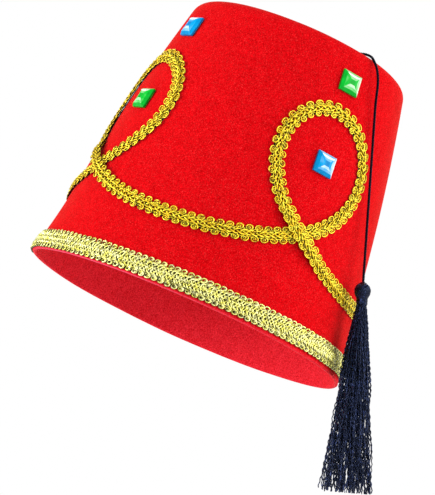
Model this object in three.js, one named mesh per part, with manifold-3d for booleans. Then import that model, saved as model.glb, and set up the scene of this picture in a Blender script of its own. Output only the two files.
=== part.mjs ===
// Fez hat: a pressed felt crown with gilt braid, square paste stones and a tassel on a thin cord.
// Millimetres, +Z up. The origin is the middle of the rim opening, where the hat sits on a head.
// The hat is worn at a tilt, so its pieces stand in a turned group, and the tassel hangs straight down.

import * as THREE from "three";
import { mergeVertices } from "three/addons/utils/BufferGeometryUtils.js";
import Module from "manifold-3d";

const wasm = await Module();
wasm.setup();

// Crown
const RIM_RADIUS = 96.35;
const TOP_RADIUS = 67.65;
const CROWN_HEIGHT = 180;
const WALL_BOW = 3.5;
const RIM_FLARE = 3.5;
const RIM_FLARE_HEIGHT = 45;
const RIM_SLANT = 1.5;
const RIM_SLANT_HEIGHT = 60;
const SHOULDER_RADIUS = 8.7;
const FELT_THICKNESS = 2.5;
const CORD_HOLE_RADIUS = 2.4;
const CROWN_SIDES = 72;
const WALL_STEPS = 9;
const WALL_STEP_GROWTH = 1.6;
const SHOULDER_STEPS = 5;

// The tilt at which it is worn: to the wearer's left, which is +X, and back, which is +Y
const LEAN_TO_SIDE = THREE.MathUtils.degToRad(19.1);
const TIP_BACK = THREE.MathUtils.degToRad(4.95);

// Gap between a piece and the piece it is sewn or stuck to
const SEAT_GAP = 0.35;

// Scroll braid: loops round the wall with a dip between each two, laid by hand, so no two are quite alike.
// Azimuths are in degrees from the front towards the right; a loop's shift is how far it is off its stones.
const LOOPS = [
  { azimuth: 29, shift: 0.2, top: 138 },
  { azimuth: 126, shift: 0, top: 138 },
  { azimuth: 212, shift: 1, top: 137 },
  { azimuth: 300, shift: -3.2, top: 136.1 },
];
const FULL_TURN = 360;
const EVEN_GAP = FULL_TURN / LOOPS.length;
const GAP_EASE_START = 0.35;
const GAP_EASE_END = 0.75;
const DIP_HEIGHT = 41.4;
const LOOP_SWAY = 38.4;
const LOOP_NARROWING = 3.05;
const LOOP_ROUNDING = 3.25;
const LOOP_SKEW = 1.1;
const SCROLL_WIDTH = 10;
const SCROLL_THICKNESS = 2;
const SCROLL_STEPS = 264;

// Where the braid climbs over itself, as shares of the way from one loop's top to the next
const OVERPASS_MIDDLE = 0.332;
const OVERPASS_HALF_FLAT = 0.028;
const OVERPASS_RAMP = 0.032;

// Rim band: its middle line stands a little higher at the right than at the left
const BAND_WIDTH = 13;
const BAND_THICKNESS = 1.6;
const BAND_MIDDLE_HEIGHT = 7.75;
const BAND_SLANT = 1.75;
const BAND_STEPS = 96;

// Share of a braid's thickness at which its rounded edge starts, and of its half width where it ends
const BRAID_EDGE_SHARE = 0.4;
const BRAID_CROWN_SHARE = 0.55;

// Stones: square, with a girdle, two steps of facets and a table
const STONE_STEPS = [
  { halfWidth: 6.5, height: 0 },
  { halfWidth: 6.5, height: 1.3 },
  { halfWidth: 5.1, height: 2.8 },
  { halfWidth: 3.4, height: 3.5 },
];
const STONE_SIDES = 4;
const LOOP_STONE_HEIGHT = 105.5;
const UPPER_STONE_HEIGHT = 157.5;

// Cord: its route on the hat lies at one azimuth, out from the hat's axis, to the side and up from the rim
const CORD_DIAMETER = 1.7;
const CORD_SIDES = 8;
const CORD_STEPS = 52;
const CORD_AZIMUTH = THREE.MathUtils.degToRad(38.9);
const CORD_ROUTE = [
  { out: 0, side: 0, up: 177.6 },
  { out: 0, side: 0, up: 179.6 },
  { out: 0.7, side: 0, up: 182 },
  { out: 2.8, side: 0, up: 184.1 },
  { out: 5.8, side: 0, up: 184.6 },
  { out: 10, side: 0, up: 183.5 },
  { out: 16, side: 0, up: 181.9 },
  { out: 26, side: 0, up: 181.5 },
  { out: 40, side: 0, up: 181.5 },
  { out: 54, side: 0, up: 181.5 },
  { out: 61, side: 0, up: 181.3 },
  { out: 65.8, side: 0.1, up: 180.1 },
  { out: 69.4, side: 0.5, up: 177.5 },
  { out: 72.4, side: 1.1, up: 174.6 },
  { out: 74.3, side: 2, up: 171.4 },
];
const CORD_DROP = 123.6;
const CORD_DROP_POINTS = 6;
const KNOT_RADIUS = 3.2;
const KNOT_SIDES = 12;
const KNOT_RINGS = 8;

// Tassel: radii of its bound head, then the sections of its hanging locks, by the drop from its top.
// The locks spread from the middle, which drifts a little towards -X as they fall.
const TASSEL_HEAD = [
  { drop: 0, radius: 1.3 },
  { drop: 1.6, radius: 3.1 },
  { drop: 4.2, radius: 4.6 },
  { drop: 6.8, radius: 4.3 },
  { drop: 9, radius: 3.2 },
  { drop: 10.6, radius: 3.1 },
  { drop: 14, radius: 3.5 },
];
const TASSEL_HEAD_SIDES = 12;
const TASSEL_SECTIONS = [
  { drop: 9, spread: 1.2, thickness: 1.6, drift: 0 },
  { drop: 24, spread: 2.6, thickness: 2.4, drift: 0 },
  { drop: 44, spread: 5.2, thickness: 2.8, drift: 0 },
  { drop: 72, spread: 7.3, thickness: 3.3, drift: 1.2 },
  { drop: 100, spread: 9.9, thickness: 3.6, drift: 3.3 },
  { drop: 122, spread: 13.4, thickness: 2.4, drift: 3.3 },
];
const LOCK_COUNT = 11;
const LOCK_SIDES = 7;
const LOCK_TWIST = THREE.MathUtils.degToRad(26);
const LOCK_SHORTENING = [0, 0.05, 0.02, 0.07];
const CORE_SHORTENING = 0.1;

const FELT = new THREE.MeshStandardMaterial({ color: 0xd8061a, roughness: 0.95 });
const GILT = new THREE.MeshStandardMaterial({ color: 0xd6b31f, roughness: 0.45, metalness: 0.6 });
const PALE_GILT = new THREE.MeshStandardMaterial({ color: 0xe2d676, roughness: 0.4, metalness: 0.6 });
const BLUE_PASTE = new THREE.MeshStandardMaterial({ color: 0x1f78d0, roughness: 0.08 });
const GREEN_PASTE = new THREE.MeshStandardMaterial({ color: 0x17a83f, roughness: 0.08 });
const NAVY_SILK = new THREE.MeshStandardMaterial({ color: 0x0d1226, roughness: 0.5 });

// How much of the rim's flare is left at a height, as a share that falls to nothing
function flareShare(height) {
  return Math.max(0, 1 - height / RIM_FLARE_HEIGHT);
}

// The crown's outer wall: a cone that bows out between the rim and the top, and flares at the rim
function wallRadius(height) {
  const share = height / CROWN_HEIGHT;
  const cone = RIM_RADIUS + (TOP_RADIUS - RIM_RADIUS) * share;
  return cone + WALL_BOW * 4 * share * (1 - share) + RIM_FLARE * flareShare(height) ** 2;
}

// How far the wall leans in from upright at a height
function wallLean(height) {
  const share = height / CROWN_HEIGHT;
  const cone = (TOP_RADIUS - RIM_RADIUS + WALL_BOW * 4 * (1 - 2 * share)) / CROWN_HEIGHT;
  const flare = (-2 * RIM_FLARE * flareShare(height)) / RIM_FLARE_HEIGHT;
  return Math.atan(-cone - flare);
}

// How far a point is lowered by the rim's slanted cut, which reaches lower at the right
function slantDrop(x, height) {
  return (RIM_SLANT * Math.max(0, 1 - height / RIM_SLANT_HEIGHT) * x) / RIM_RADIUS;
}

// A point proud of the wall, at an azimuth counted from the front towards the right
function wallPoint(azimuth, height, proud) {
  const lean = wallLean(height);
  const out = wallRadius(height) + proud * Math.cos(lean);
  const up = height + proud * Math.sin(lean);
  const x = out * Math.sin(azimuth);
  return new THREE.Vector3(x, -out * Math.cos(azimuth), up - slantDrop(x, up));
}

// Half of the felt's section, from the rim over the shoulder to the cord hole, set in from the outside
function feltProfile(inset) {
  const shoulderLean = wallLean(CROWN_HEIGHT - SHOULDER_RADIUS);
  const arcFoot = CROWN_HEIGHT - SHOULDER_RADIUS * (1 - Math.sin(shoulderLean));
  const arcMiddle = wallRadius(arcFoot) - SHOULDER_RADIUS * Math.cos(shoulderLean);
  const arcRadius = SHOULDER_RADIUS - inset;
  const wallTop = arcFoot - inset * Math.sin(shoulderLean);
  const points = [];
  for (let step = 0; step < WALL_STEPS; step++) {
    const height = wallTop * (step / WALL_STEPS) ** WALL_STEP_GROWTH;
    points.push(new THREE.Vector2(wallRadius(height) - inset / Math.cos(wallLean(height)), height));
  }
  for (let step = 0; step <= SHOULDER_STEPS; step++) {
    const angle = THREE.MathUtils.lerp(shoulderLean, Math.PI / 2, step / SHOULDER_STEPS);
    const height = CROWN_HEIGHT - SHOULDER_RADIUS + arcRadius * Math.sin(angle);
    points.push(new THREE.Vector2(arcMiddle + arcRadius * Math.cos(angle), height));
  }
  points.push(new THREE.Vector2(CORD_HOLE_RADIUS, CROWN_HEIGHT - inset));
  return points;
}

// A profile turned round +Z
function turned(points, sides) {
  return new THREE.LatheGeometry(points, sides).rotateX(Math.PI / 2);
}

// The felt body, turned and then lowered at the right for the rim's slant
function crownGeometry() {
  const outside = feltProfile(0);
  const inside = feltProfile(FELT_THICKNESS).reverse();
  const crown = turned([...outside, ...inside, outside[0]], CROWN_SIDES);
  const { position } = crown.attributes;
  for (let index = 0; index < position.count; index++) {
    const height = position.getZ(index);
    position.setZ(index, height - slantDrop(position.getX(index), height));
  }
  return crown;
}

// A braid's section: flat where it lies on the felt, and rounded off towards both edges
function braidSection(width, thickness) {
  const half = width / 2;
  const edge = SEAT_GAP + thickness * BRAID_EDGE_SHARE;
  const top = SEAT_GAP + thickness;
  return [
    { across: -half, proud: SEAT_GAP },
    { across: half, proud: SEAT_GAP },
    { across: half, proud: edge },
    { across: half * BRAID_CROWN_SHARE, proud: top },
    { across: -half * BRAID_CROWN_SHARE, proud: top },
    { across: -half, proud: edge },
  ];
}

// A closed ribbon on the wall: a ring whose corners are carried to the route's place on the wall
function wallRibbon(route, section, steps) {
  const ring = new THREE.TorusGeometry(1, 0.5, section.length, steps);
  const { position, uv } = ring.attributes;
  for (let index = 0; index < position.count; index++) {
    const step = Math.round(uv.getX(index) * steps) % steps;
    const corner = section[Math.round(uv.getY(index) * section.length) % section.length];
    const here = route(step / steps);
    const before = route((step - 0.5) / steps);
    const after = route((step + 0.5) / steps);
    const radius = wallRadius(here.height);
    const run = new THREE.Vector2((after.azimuth - before.azimuth) * radius, after.height - before.height);
    run.normalize();
    const azimuth = here.azimuth + (run.y * corner.across) / radius;
    const height = here.height - run.x * corner.across;
    const point = wallPoint(azimuth, height, corner.proud + here.lift);
    position.setXYZ(index, point.x, point.y, point.z);
  }
  return ring;
}

function bandRoute(turn) {
  const azimuth = turn * 2 * Math.PI;
  return { azimuth, height: BAND_MIDDLE_HEIGHT + BAND_SLANT * Math.sin(azimuth), lift: 0 };
}

// How high the braid climbs to pass over itself, at a share of the way from one loop's top to the next
function overpassLift(share) {
  const away = Math.abs(share - OVERPASS_MIDDLE);
  const fall = THREE.MathUtils.smoothstep(away, OVERPASS_HALF_FLAT, OVERPASS_HALF_FLAT + OVERPASS_RAMP);
  return (SCROLL_THICKNESS + SEAT_GAP) * (1 - fall);
}

// The loop of a number counted on past the last one, whose azimuth then counts on past a full turn
function loopAt(number) {
  const turns = Math.floor(number / LOOPS.length);
  const loop = LOOPS[number - turns * LOOPS.length];
  return { ...loop, middle: loop.azimuth + loop.shift + turns * FULL_TURN };
}

// The braid's way round the wall: it swings back and forth about a steady turn as it rises and falls
function scrollRoute(turn) {
  const place = turn * LOOPS.length;
  const number = Math.floor(place);
  const share = place - number;
  const wave = share * 2 * Math.PI;
  const unevenness = loopAt(number + 1).middle - loopAt(number).middle - EVEN_GAP;
  const eased = THREE.MathUtils.smoothstep(share, GAP_EASE_START, GAP_EASE_END);
  const steady = loopAt(number).middle + EVEN_GAP * share + unevenness * eased;
  const azimuth = steady - LOOP_SWAY * Math.sin(wave) - LOOP_NARROWING * Math.sin(2 * wave);
  const rise = (loopAt(Math.round(place)).top - DIP_HEIGHT) / 2;
  const even = DIP_HEIGHT + rise * (1 + Math.cos(wave)) - LOOP_ROUNDING * (1 - Math.cos(2 * wave));
  const height = even + LOOP_SKEW * Math.sin(2 * wave);
  return { azimuth: THREE.MathUtils.degToRad(azimuth), height, lift: overpassLift(share) };
}

// A square stone on its flat back, with its table up
function stoneGeometry() {
  const corners = STONE_STEPS.map((row) => new THREE.Vector2(row.halfWidth * Math.SQRT2, row.height));
  const back = new THREE.Vector2(0, STONE_STEPS[0].height);
  const table = new THREE.Vector2(0, STONE_STEPS.at(-1).height);
  return turned([back, ...corners, table], STONE_SIDES).rotateZ(Math.PI / STONE_SIDES);
}

// A stone stuck on the wall, at the front of its own turned group
function stone(name, height, material) {
  const mesh = new THREE.Mesh(stoneGeometry(), material);
  const lean = wallLean(height);
  mesh.name = name;
  mesh.position.copy(wallPoint(0, height, SEAT_GAP));
  mesh.rotation.x = Math.PI / 2 - lean;
  return mesh;
}

function manifoldOf(geometry) {
  const bare = geometry.clone();
  bare.deleteAttribute("normal");
  bare.deleteAttribute("uv");
  const merged = mergeVertices(bare);
  const vertProperties = new Float32Array(merged.attributes.position.array);
  const triVerts = new Uint32Array(merged.index.array);
  return new wasm.Manifold(new wasm.Mesh({ numProp: 3, vertProperties, triVerts }));
}

function geometryOf(solid) {
  const mesh = solid.getMesh();
  const geometry = new THREE.BufferGeometry();
  geometry.setAttribute("position", new THREE.BufferAttribute(mesh.vertProperties, 3));
  geometry.setIndex(new THREE.BufferAttribute(mesh.triVerts, 1));
  geometry.computeVertexNormals();
  return geometry;
}

// One lock of the tassel: a closed tube that follows the sections' spread and thickness as it falls
function lockGeometry(angle, spreadShare, shortening) {
  const rows = TASSEL_SECTIONS.length - 1;
  const tube = new THREE.CylinderGeometry(1, 1, rows, LOCK_SIDES, rows).rotateX(Math.PI / 2);
  const { position } = tube.attributes;
  for (let index = 0; index < position.count; index++) {
    const row = Math.round(rows / 2 - position.getZ(index));
    const section = TASSEL_SECTIONS[row];
    const turn = angle + (LOCK_TWIST * row) / rows;
    const middle = -section.drift;
    const spread = section.spread * spreadShare;
    const x = middle + spread * Math.cos(turn) + section.thickness * position.getX(index);
    const y = spread * Math.sin(turn) + section.thickness * position.getY(index);
    position.setXYZ(index, x, y, -section.drop * (1 - (shortening * row) / rows));
  }
  return tube;
}

// The bound head, a middle lock and a ring of locks, fused
function tasselGeometry() {
  const rows = TASSEL_HEAD.map((row) => new THREE.Vector2(row.radius, -row.drop));
  const top = new THREE.Vector2(0, -TASSEL_HEAD[0].drop);
  const bottom = new THREE.Vector2(0, -TASSEL_HEAD.at(-1).drop);
  let solid = manifoldOf(turned([bottom, ...rows.reverse(), top], TASSEL_HEAD_SIDES));
  solid = solid.add(manifoldOf(lockGeometry(0, 0, CORE_SHORTENING)));
  for (let lock = 0; lock < LOCK_COUNT; lock++) {
    const angle = (lock * 2 * Math.PI) / LOCK_COUNT;
    const shortening = LOCK_SHORTENING[lock % LOCK_SHORTENING.length];
    solid = solid.add(manifoldOf(lockGeometry(angle, 1, shortening)));
  }
  return geometryOf(solid);
}

// The cord's route in the part's frame: over the hat as listed, then straight down
function cordPoints(hatMatrix) {
  const points = CORD_ROUTE.map((row) =>
    new THREE.Vector3(row.side, -row.out, row.up)
      .applyAxisAngle(new THREE.Vector3(0, 0, 1), CORD_AZIMUTH)
      .applyMatrix4(hatMatrix),
  );
  const edge = points.at(-1);
  for (let step = 1; step <= CORD_DROP_POINTS; step++) {
    points.push(new THREE.Vector3(edge.x, edge.y, edge.z - (CORD_DROP * step) / CORD_DROP_POINTS));
  }
  return points;
}

function cordGeometry(points) {
  const section = new THREE.Shape();
  for (let side = 0; side < CORD_SIDES; side++) {
    const angle = (side * 2 * Math.PI) / CORD_SIDES;
    const corner = new THREE.Vector2(Math.cos(angle), Math.sin(angle)).multiplyScalar(CORD_DIAMETER / 2);
    if (side === 0) {
      section.moveTo(corner.x, corner.y);
    } else {
      section.lineTo(corner.x, corner.y);
    }
  }
  const extrudePath = new THREE.CatmullRomCurve3(points, false, "centripetal");
  return new THREE.ExtrudeGeometry(section, { steps: CORD_STEPS, extrudePath, bevelEnabled: false });
}

function named(name, geometry, material) {
  const mesh = new THREE.Mesh(geometry, material);
  mesh.name = name;
  return mesh;
}

const fez = new THREE.Group();
const hat = new THREE.Group();
hat.rotation.set(-TIP_BACK, LEAN_TO_SIDE, 0, "YXZ");
hat.updateMatrix();
fez.add(hat);

hat.add(named("crown", crownGeometry(), FELT));

const bandSection = braidSection(BAND_WIDTH, BAND_THICKNESS);
hat.add(named("rim_band", wallRibbon(bandRoute, bandSection, BAND_STEPS), PALE_GILT));

const scrollSection = braidSection(SCROLL_WIDTH, SCROLL_THICKNESS);
hat.add(named("scroll_braid", wallRibbon(scrollRoute, scrollSection, SCROLL_STEPS), GILT));

for (const [index, loop] of LOOPS.entries()) {
  const front = new THREE.Group();
  const materials = index % 2 === 0 ? [BLUE_PASTE, GREEN_PASTE] : [GREEN_PASTE, BLUE_PASTE];
  front.rotation.z = THREE.MathUtils.degToRad(loop.azimuth);
  front.add(stone(`gem_loop_${index + 1}`, LOOP_STONE_HEIGHT, materials[0]));
  front.add(stone(`gem_upper_${index + 1}`, UPPER_STONE_HEIGHT, materials[1]));
  hat.add(front);
}

const knot = named("cord_knot", new THREE.SphereGeometry(KNOT_RADIUS, KNOT_SIDES, KNOT_RINGS), NAVY_SILK);
knot.rotation.x = Math.PI / 2;
knot.position.z = CROWN_HEIGHT - FELT_THICKNESS - SEAT_GAP - KNOT_RADIUS;
hat.add(knot);

const route = cordPoints(hat.matrix);
fez.add(named("tassel_cord", cordGeometry(route), NAVY_SILK));

const tassel = named("tassel", tasselGeometry(), NAVY_SILK);
tassel.position.copy(route.at(-1));
tassel.position.z -= SEAT_GAP;
fez.add(tassel);

export default fez;
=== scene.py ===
"""Looks of a red felt fez with gilt gimp, paste stones and a silk tassel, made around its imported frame.

Sizes are in millimetres, on the hat's own axes or down from the tassel's top, until a piece's mesh is set
into the frame in metres.
"""

import logging
import math
import random
from dataclasses import dataclass, field
from enum import Enum
from typing import Callable, Sequence

import bmesh
import bpy
import numpy as np
from bmesh.types import BMEdge, BMesh
from bpy.types import Material, Mesh, NodeSocket, Object, World
from mathutils import Color, Matrix, Vector, noise
from mathutils.geometry import interpolate_bezier


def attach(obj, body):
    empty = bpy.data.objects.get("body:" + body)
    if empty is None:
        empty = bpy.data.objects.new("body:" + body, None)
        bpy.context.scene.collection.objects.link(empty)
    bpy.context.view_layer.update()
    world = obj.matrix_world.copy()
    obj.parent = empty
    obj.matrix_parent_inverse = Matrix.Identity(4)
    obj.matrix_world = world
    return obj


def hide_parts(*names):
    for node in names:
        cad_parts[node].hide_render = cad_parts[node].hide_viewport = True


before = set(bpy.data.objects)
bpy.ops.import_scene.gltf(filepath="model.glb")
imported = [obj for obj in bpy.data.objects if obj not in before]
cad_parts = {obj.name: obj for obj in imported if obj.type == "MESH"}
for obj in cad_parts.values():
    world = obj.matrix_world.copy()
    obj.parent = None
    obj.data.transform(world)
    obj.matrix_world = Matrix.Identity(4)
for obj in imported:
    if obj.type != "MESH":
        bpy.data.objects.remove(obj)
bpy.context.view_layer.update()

MM = 0.001
TURN = 2.0 * math.pi
GOLDEN_ANGLE = TURN * (3 - math.sqrt(5)) / 2
DEGREES_ROUND = 360
FULL_LEVEL = 255
NOISE_MIDDLE = 0.5
LEAST_SIDES = 4
MIX_SHARE = 0
MIX_FIRST = 6
MIX_SECOND = 7
MIX_RESULT = 2
BODY = "root"

Colour = tuple[float, float, float, float]
Limits = tuple[float, float]
Profile = tuple[tuple[float, float], ...]
Line = Callable[[np.ndarray], tuple[np.ndarray, np.ndarray, np.ndarray]]

log = logging.getLogger("fez")


class Slot(Enum):
    """The record's material slots."""

    FELT = "red_felt"
    GILT = "gilt"
    PALE_GILT = "pale_gilt"
    BLUE = "blue_paste"
    GREEN = "green_paste"
    SILK = "navy_silk"


def screen(red: int, green: int, blue: int) -> Colour:
    """Gives a screen colour of 0 to 255 as a shader's linear colour."""
    shares = Color((red / FULL_LEVEL, green / FULL_LEVEL, blue / FULL_LEVEL))
    return (*shares.from_srgb_to_scene_linear(), 1.0)


WHITE = screen(255, 255, 255)


class Socket:
    """A shader socket that takes part in Python arithmetic."""

    def __init__(self, work: "NodeWork", socket: NodeSocket) -> None:
        """Keeps the socket and the node work that its sums are added to."""
        self.work = work
        self.socket = socket

    def _sum(self, operation: str, first: "Value", second: "Value") -> "Socket":
        """Adds one Math node on two values."""
        return self.work.node("ShaderNodeMath", {"operation": operation}, {0: first, 1: second})

    def __add__(self, other: "Value") -> "Socket":
        """Adds a value."""
        return self._sum("ADD", self, other)

    def __radd__(self, other: "Value") -> "Socket":
        """Is added to a value."""
        return self._sum("ADD", other, self)

    def __sub__(self, other: "Value") -> "Socket":
        """Takes a value away."""
        return self._sum("SUBTRACT", self, other)

    def __rsub__(self, other: "Value") -> "Socket":
        """Is taken away from a value."""
        return self._sum("SUBTRACT", other, self)

    def __mul__(self, other: "Value") -> "Socket":
        """Multiplies by a value."""
        return self._sum("MULTIPLY", self, other)

    def __rmul__(self, other: "Value") -> "Socket":
        """Is multiplied by a value."""
        return self._sum("MULTIPLY", other, self)


Value = Socket | float | Colour | Sequence[float]


class NodeWork:
    """A node tree that is written as expressions."""

    def __init__(self, owner: Material | World) -> None:
        """Empties the node tree of a material or of a world.

        Args:
            owner: The material or the world.
        """
        owner.use_nodes = True
        self.owner = owner
        self.tree = owner.node_tree
        self.tree.nodes.clear()

    @classmethod
    def for_material(cls, name: str) -> "NodeWork":
        """Starts the tree of a new material."""
        return cls(bpy.data.materials.new(name))

    def node(
        self,
        kind: str,
        settings: dict[str, object],
        inputs: dict[int | str, Value],
        output: int | str | None = 0,
    ) -> Socket | None:
        """Adds one node.

        Args:
            kind: The node's type.
            settings: The node's own settings, which are set first.
            inputs: Values or links of its sockets, by name or by number.
            output: The output that is wanted, or None for a node that has none.

        Returns:
            That output, ready for arithmetic.
        """
        made = self.tree.nodes.new(kind)
        for name, value in settings.items():
            setattr(made, name, value)
        for name, value in inputs.items():
            if isinstance(value, Socket):
                self.tree.links.new(value.socket, made.inputs[name])
            else:
                made.inputs[name].default_value = value
        return None if output is None else Socket(self, made.outputs[output])

    def place(self) -> Socket:
        """Gives the object coordinates."""
        return self.node("ShaderNodeTexCoord", {}, {}, "Object")

    def noise(self, place: Socket, scale: float, detail: float = 2.0, roughness: float = 0.5) -> Socket:
        """Adds a noise with so many features to the metre."""
        inputs = {"Vector": place, "Scale": scale, "Detail": detail, "Roughness": roughness}
        return self.node("ShaderNodeTexNoise", {}, inputs, "Fac")

    def attribute(self, name: str) -> Socket:
        """Reads a number that the mesh carries."""
        return self.node("ShaderNodeAttribute", {"attribute_name": name}, {}, "Fac")

    def spread(self, value: Socket, limits: Limits) -> Socket:
        """Maps a value between two limits to 0 and 1, and holds it there."""
        inputs = {"Value": value, "From Min": limits[0], "From Max": limits[1]}
        return self.node("ShaderNodeMapRange", {"clamp": True}, inputs)

    def weigh(self, share: float, first: Socket, second: Socket) -> Socket:
        """Adds two values up, with a share for the second and the rest for the first."""
        return first * (1 - share) + second * share

    def mix(self, share: Value, first: Value, second: Value) -> Socket:
        """Mixes two colours."""
        inputs = {MIX_SHARE: share, MIX_FIRST: first, MIX_SECOND: second}
        return self.node("ShaderNodeMix", {"data_type": "RGBA"}, inputs, MIX_RESULT)

    def bump(self, height: Socket, strength: float, depth: float) -> Socket:
        """Turns heights into a bumped normal."""
        return self.node("ShaderNodeBump", {}, {"Height": height, "Strength": strength, "Distance": depth})

    def principled(self, inputs: dict[str, Value]) -> Socket:
        """Adds the shader of a surface."""
        return self.node("ShaderNodeBsdfPrincipled", {}, inputs)

    def close(self, surface: Socket, kind: str = "ShaderNodeOutputMaterial") -> None:
        """Links the last shader to the tree's output."""
        self.node(kind, {}, {"Surface": surface}, None)

    def finish(self, inputs: dict[str, Value]) -> Material:
        """Ends the tree in one surface shader, and gives the material."""
        self.close(self.principled(inputs))
        return self.owner


@dataclass(frozen=True)
class FeltFinish:
    """Pressed red wool felt; its crimson inside is painted brighter to make up for the shade there, and its
    cut edge carries a painted pink highlight.
    """

    deep: Colour = screen(164, 0, 2)
    light: Colour = screen(232, 7, 19)
    fleck: Colour = screen(255, 66, 66)
    # The inside's colours: the felt painted brighter, to make up for the shade inside the hat.
    brightened_inner_deep: Colour = screen(196, 4, 14)
    brightened_inner_light: Colour = screen(255, 54, 70)
    # A painted pink highlight along the rim's cut edge.
    edge_highlight: Colour = screen(244, 84, 118)
    sheen_tint: Colour = screen(255, 150, 120)
    fibre_scale: float = 1250.0
    fibre_detail: float = 4.0
    fibre_roughness: float = 0.7
    mottle_scale: float = 190.0
    mottle_detail: float = 3.0
    mottle_roughness: float = 0.6
    mottle_share: float = 0.15
    mottle_height: float = 0.6
    speckle_limits: Limits = (0.36, 0.64)
    fleck_scale: float = 1800.0
    fleck_limits: Limits = (0.56, 0.7)
    fleck_share: float = 0.5
    roughness: float = 0.92
    pressed_gloss: float = 0.12
    specular: float = 0.02
    sheen: float = 0.18
    sheen_roughness: float = 0.3
    bump_strength: float = 0.55
    bump_depth: float = 0.00045

    def material(self) -> Material:
        """Makes the felt's material.

        Returns:
            The material.
        """
        work = NodeWork.for_material("felt")
        place = work.place()
        fibre = work.noise(place, self.fibre_scale, self.fibre_detail, self.fibre_roughness)
        mottle = work.noise(place, self.mottle_scale, self.mottle_detail, self.mottle_roughness)
        speckle = work.spread(work.weigh(self.mottle_share, fibre, mottle), self.speckle_limits)
        flecks = work.spread(work.noise(place, self.fleck_scale), self.fleck_limits)
        outside = work.mix(speckle, self.deep, self.light)
        # The inside is the same felt, painted brighter to make up for the shade inside the hat.
        inside = work.mix(speckle, self.brightened_inner_deep, self.brightened_inner_light)
        colour = work.mix(work.attribute("inside"), outside, inside)
        colour = work.mix(flecks * self.fleck_share, colour, self.fleck)
        # Painted highlight: pale pink on the rim's cut edge, as much as the cut mark says.
        colour = work.mix(work.attribute("cut"), colour, self.edge_highlight)
        height = fibre + mottle * self.mottle_height
        return work.finish(
            {
                "Base Color": colour,
                "Roughness": self.roughness - speckle * self.pressed_gloss,
                "Specular IOR Level": self.specular,
                "Sheen Weight": self.sheen,
                "Sheen Roughness": self.sheen_roughness,
                "Sheen Tint": self.sheen_tint,
                "Normal": work.bump(height, self.bump_strength, self.bump_depth),
            }
        )


@dataclass(frozen=True)
class GimpFinish:
    """Gimp of wrapped shiny yarn, with painted shade low between its threads and on their flanks, and patches
    of painted highlight.
    """

    name: str
    # The painted shade's colour, low between the threads and on their flanks.
    gap: Colour
    body: Colour
    # A painted highlight colour, laid on in noise patches.
    shine: Colour
    glint_scale: float = 2600.0
    patch_scale: float = 420.0
    patch_share: float = 0.5
    shine_limits: Limits = (0.41, 0.59)
    # Where the painted shade gives way: with height off the wall, and with how outward a thread's surface
    # faces.
    proud_shade_limits: Limits = (0.4, 1.3)
    facing_shade_limits: Limits = (0.0, 0.72)
    fleck_scale: float = 560.0
    fleck_detail: float = 1.0
    fleck_limits: Limits = (0.56, 0.66)
    fleck_depth: float = 0.75
    metallic: float = 0.5
    roughness: float = 0.2
    patch_roughness: float = 0.15
    bump_strength: float = 0.5
    bump_depth: float = 0.00012

    def material(self) -> Material:
        """Makes the gimp's material.

        Returns:
            The material.
        """
        work = NodeWork.for_material(self.name)
        place = work.place()
        glint = work.noise(place, self.glint_scale)
        patch = work.noise(place, self.patch_scale)
        # Pale patches of painted highlight, spread by noise.
        shining = work.spread(work.weigh(self.patch_share, glint, patch), self.shine_limits)
        colour = work.mix(shining, self.body, self.shine)
        # Painted shade: threads go to the shade colour low down near the felt and on flanks turned from the
        # wall, with random dark flecks.
        proud = work.spread(work.attribute("proud"), self.proud_shade_limits)
        facing = work.spread(work.attribute("facing"), self.facing_shade_limits)
        fleck = work.spread(work.noise(place, self.fleck_scale, self.fleck_detail), self.fleck_limits)
        colour = work.mix(proud * facing * (1 - fleck * self.fleck_depth), self.gap, colour)
        return work.finish(
            {
                "Base Color": colour,
                "Metallic": self.metallic,
                "Roughness": self.roughness + patch * self.patch_roughness,
                "Normal": work.bump(glint, self.bump_strength, self.bump_depth),
            }
        )


@dataclass(frozen=True)
class PasteFinish:
    """Cut paste on foil, its reflections painted in: each facet's colour shows another share of the light
    that the foil throws back.
    """

    name: str
    deep: Colour
    body: Colour
    bright: Colour
    body_flash: float = 0.5
    ripple_scale: float = 260.0
    ripple_detail: float = 1.0
    ripple_flash: float = 0.3
    ripple_roughness: float = 0.05
    roughness: float = 0.3
    specular: float = 0.1
    coat: float = 0.03
    coat_roughness: float = 0.05

    def material(self) -> Material:
        """Makes the stone's material.

        Returns:
            The material.
        """
        work = NodeWork.for_material(self.name)
        ripple = work.noise(work.place(), self.ripple_scale, self.ripple_detail) - NOISE_MIDDLE
        # Painted reflections: each facet's flash mark picks its share of deep, body and bright colour.
        flash = work.attribute("flash") + ripple * self.ripple_flash
        colour = work.mix(work.spread(flash, (0.0, self.body_flash)), self.deep, self.body)
        colour = work.mix(work.spread(flash, (self.body_flash, 1.0)), colour, self.bright)
        return work.finish(
            {
                "Base Color": colour,
                "Roughness": self.roughness + ripple * self.ripple_roughness,
                "Specular IOR Level": self.specular,
                "Coat Weight": self.coat,
                "Coat Roughness": self.coat_roughness,
            }
        )


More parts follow.
